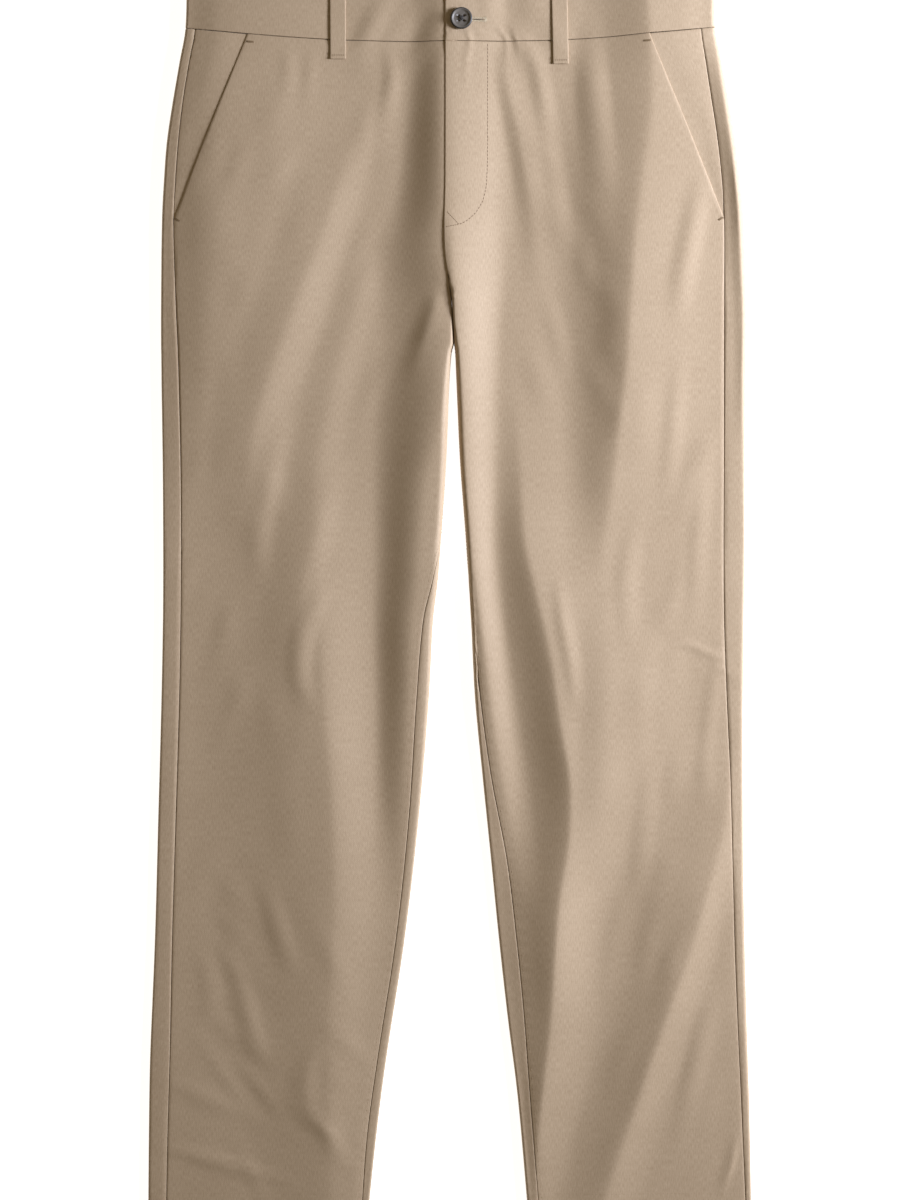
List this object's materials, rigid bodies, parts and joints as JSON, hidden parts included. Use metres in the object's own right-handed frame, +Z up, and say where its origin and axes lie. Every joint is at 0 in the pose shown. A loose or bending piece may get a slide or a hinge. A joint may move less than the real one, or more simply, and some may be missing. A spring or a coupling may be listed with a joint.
{
  "type": "chino trousers",
  "caption": "Plain-front cotton chino trousers laid flat, with slant pockets, fly front, belt loops and a buttoned waistband.",
  "frame": {"origin": "centre of the bounding box's footprint, on the surface that the trousers lie on", "axes": "+X to the wearer's left, +Y from the hems to the waist, +Z up from the surface, out of the front of the trousers"},
  "size_m": [0.5147, 1.08, 0.0235],
  "materials": {
    "twill": "fine cotton twill, matt, warm stone brown",
    "waistband": "fine cotton twill over interlining, matt, pressed flat",
    "pocket_facing": "fine cotton twill, matt",
    "belt_loops": "folded cotton twill strip, matt",
    "button": "dark grey moulded resin, satin, with a dished face and raised rim"
  },
  "bodies": {
    "root": {"front_right": "twill", "back_right": "twill", "waistband_right": "waistband", "pocket_facing_right": "pocket_facing", "belt_loop_front_right": "belt_loops", "belt_loop_back_right": "belt_loops", "front_left": "twill", "back_left": "twill", "waistband_left": "waistband", "pocket_facing_left": "pocket_facing", "belt_loop_front_left": "belt_loops", "belt_loop_back_left": "belt_loops", "belt_loop_centre_back": "belt_loops", "button": "button"}
  },
  "joints": []
}
